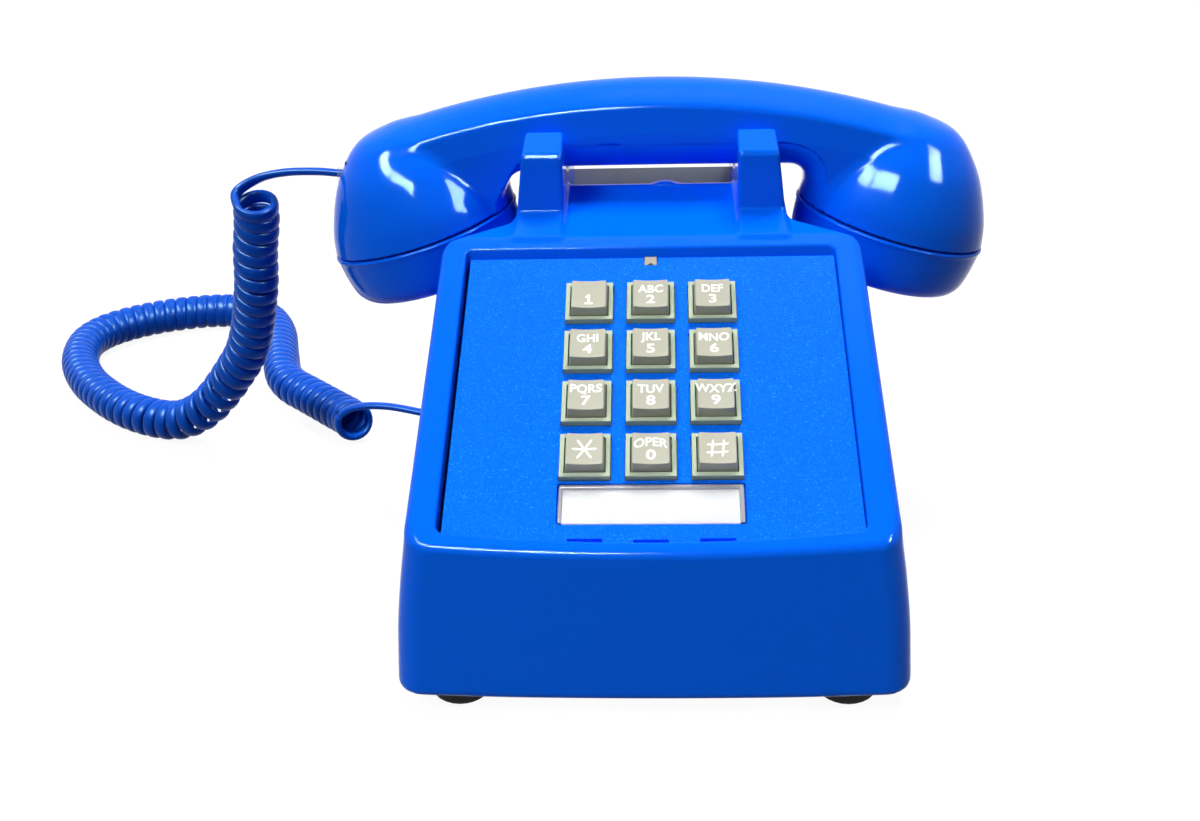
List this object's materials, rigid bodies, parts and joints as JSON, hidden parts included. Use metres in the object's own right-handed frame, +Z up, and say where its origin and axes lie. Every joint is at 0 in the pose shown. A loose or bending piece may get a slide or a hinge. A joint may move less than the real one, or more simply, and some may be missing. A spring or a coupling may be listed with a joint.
{
  "type": "push-button desk telephone",
  "caption": "Push-button desk telephone: sloping housing with an eared cradle, keypad, number card, bell ringer inside, a lift-off handset and a curly cord lying in a loop beside it.",
  "frame": {"origin": "on the table, below the middle of the telephone without its cord", "axes": "+X to the right along the handset, +Y to the back, +Z up"},
  "size_m": [0.3859, 0.3277, 0.1511],
  "materials": {
    "blue_gloss": "smooth, high gloss, moulded",
    "blue_face": "fine leather-like grain, satin",
    "blue_cord": "extruded vinyl, soft gloss",
    "collar_plastic": "sage grey, satin",
    "key_plastic": "grey-beige, satin, light legends",
    "tan_plastic": "tan, satin",
    "card_paper": "plain white card",
    "clear_plastic": "clear, polished",
    "black_plastic": "black, satin",
    "black_rubber": "matte",
    "steel": "zinc-plated",
    "gong_brass": "polished",
    "coil_copper": "wound enamelled copper wire, with end cheeks",
    "board_green": "circuit board with solder mask"
  },
  "bodies": {
    "telephone": {"housing": "blue_gloss", "faceplate": "blue_face", "curly_cord": "blue_cord", "cord_base_lead": "blue_cord", "keypad_bezel": "collar_plastic", "faceplate_latch": "tan_plastic", "number_card": "card_paper", "card_window": "clear_plastic", "base_plug": "clear_plastic", "keypad_chassis": "black_plastic", "hookswitch_contacts": "black_plastic", "network_block": "black_plastic", "handset_jack": "black_plastic", "line_jack": "black_plastic", "foot_front_left": "black_rubber", "foot_front_right": "black_rubber", "foot_rear_left": "black_rubber", "foot_rear_right": "black_rubber", "contact_mat": "black_rubber", "base_plate": "steel", "grip_rail": "steel", "housing_screw_front": "steel", "housing_screw_rear": "steel", "hookswitch_bracket": "steel", "lever_pin": "steel", "ringer_frame": "steel", "gong_screw_left": "steel", "gong_screw_right": "steel", "gong_left": "gong_brass", "gong_right": "gong_brass", "ringer_coil": "coil_copper", "keypad_board": "board_green"},
    "button_1": {"button_1": "key_plastic"},
    "button_2": {"button_2": "key_plastic"},
    "button_3": {"button_3": "key_plastic"},
    "button_4": {"button_4": "key_plastic"},
    "button_5": {"button_5": "key_plastic"},
    "button_6": {"button_6": "key_plastic"},
    "button_7": {"button_7": "key_plastic"},
    "button_8": {"button_8": "key_plastic"},
    "button_9": {"button_9": "key_plastic"},
    "button_star": {"button_star": "key_plastic"},
    "button_0": {"button_0": "key_plastic"},
    "button_pound": {"button_pound": "key_plastic"},
    "handset": {"handset_handle": "blue_gloss", "transmitter_cap": "blue_gloss", "receiver_cap": "blue_gloss", "transmitter_unit": "black_plastic", "receiver_unit": "black_plastic", "transmitter_cup": "black_plastic", "handset_end_jack": "black_plastic", "handset_plug": "clear_plastic", "cord_handset_lead": "blue_cord"},
    "plunger_left": {"plunger_left": "black_plastic"},
    "plunger_right": {"plunger_right": "black_plastic"},
    "hookswitch_lever": {"hookswitch_lever": "steel"},
    "clapper": {"clapper": "gong_brass"},
    "volume_wheel": {"volume_wheel": "black_plastic"}
  },
  "joints": [
    {"name": "button_1_press", "type": "slide", "parent": "telephone", "child": "button_1", "axis": [0, 0.515, -0.8572], "range_m": [0, 0.003], "stiffness_N_per_m": 200, "springref_m": -0.001},
    {"name": "button_2_press", "type": "slide", "parent": "telephone", "child": "button_2", "axis": [0, 0.515, -0.8572], "range_m": [0, 0.003], "stiffness_N_per_m": 200, "springref_m": -0.001},
    {"name": "button_3_press", "type": "slide", "parent": "telephone", "child": "button_3", "axis": [0, 0.515, -0.8572], "range_m": [0, 0.003], "stiffness_N_per_m": 200, "springref_m": -0.001},
    {"name": "button_4_press", "type": "slide", "parent": "telephone", "child": "button_4", "axis": [0, 0.515, -0.8572], "range_m": [0, 0.003], "stiffness_N_per_m": 200, "springref_m": -0.001},
    {"name": "button_5_press", "type": "slide", "parent": "telephone", "child": "button_5", "axis": [0, 0.515, -0.8572], "range_m": [0, 0.003], "stiffness_N_per_m": 200, "springref_m": -0.001},
    {"name": "button_6_press", "type": "slide", "parent": "telephone", "child": "button_6", "axis": [0, 0.515, -0.8572], "range_m": [0, 0.003], "stiffness_N_per_m": 200, "springref_m": -0.001},
    {"name": "button_7_press", "type": "slide", "parent": "telephone", "child": "button_7", "axis": [0, 0.515, -0.8572], "range_m": [0, 0.003], "stiffness_N_per_m": 200, "springref_m": -0.001},
    {"name": "button_8_press", "type": "slide", "parent": "telephone", "child": "button_8", "axis": [0, 0.515, -0.8572], "range_m": [0, 0.003], "stiffness_N_per_m": 200, "springref_m": -0.001},
    {"name": "button_9_press", "type": "slide", "parent": "telephone", "child": "button_9", "axis": [0, 0.515, -0.8572], "range_m": [0, 0.003], "stiffness_N_per_m": 200, "springref_m": -0.001},
    {"name": "button_star_press", "type": "slide", "parent": "telephone", "child": "button_star", "axis": [0, 0.515, -0.8572], "range_m": [0, 0.003], "stiffness_N_per_m": 200, "springref_m": -0.001},
    {"name": "button_0_press", "type": "slide", "parent": "telephone", "child": "button_0", "axis": [0, 0.515, -0.8572], "range_m": [0, 0.003], "stiffness_N_per_m": 200, "springref_m": -0.001},
    {"name": "button_pound_press", "type": "slide", "parent": "telephone", "child": "button_pound", "axis": [0, 0.515, -0.8572], "range_m": [0, 0.003], "stiffness_N_per_m": 200, "springref_m": -0.001},
    {"name": "handset_lift", "type": "slide", "parent": "telephone", "child": "handset", "axis": [0, 0, 1], "range_m": [0, 0.06]},
    {"name": "plunger_left_rise", "type": "slide", "parent": "telephone", "child": "plunger_left", "axis": [0, 0, 1], "range_m": [0, 0.007]},
    {"name": "plunger_right_rise", "type": "slide", "parent": "telephone", "child": "plunger_right", "axis": [0, 0, 1], "range_m": [0, 0.007]},
    {"name": "hookswitch_turn", "type": "hinge", "parent": "telephone", "child": "hookswitch_lever", "pos_m": [0, 0.06827, 0.0947], "axis": [1, 0, 0], "range_deg": [-15.85, 0]},
    {"name": "clapper_swing", "type": "hinge", "parent": "telephone", "child": "clapper", "pos_m": [0, -0.0105, 0.022], "axis": [0, 0, 1], "range_deg": [-2.3, 2.3]},
    {"name": "volume_turn", "type": "hinge", "parent": "telephone", "child": "volume_wheel", "pos_m": [0.057, 0.00027, 0.005], "axis": [0, 0, 1], "range_deg": [0, 90]}
  ],
  "couplings": [
    {"joint": "plunger_left_rise", "follows": "handset_lift", "ratio": 0.11667},
    {"joint": "plunger_right_rise", "follows": "handset_lift", "ratio": 0.11667},
    {"joint": "hookswitch_turn", "follows": "handset_lift", "rad_per_m": -4.596}
  ]
}
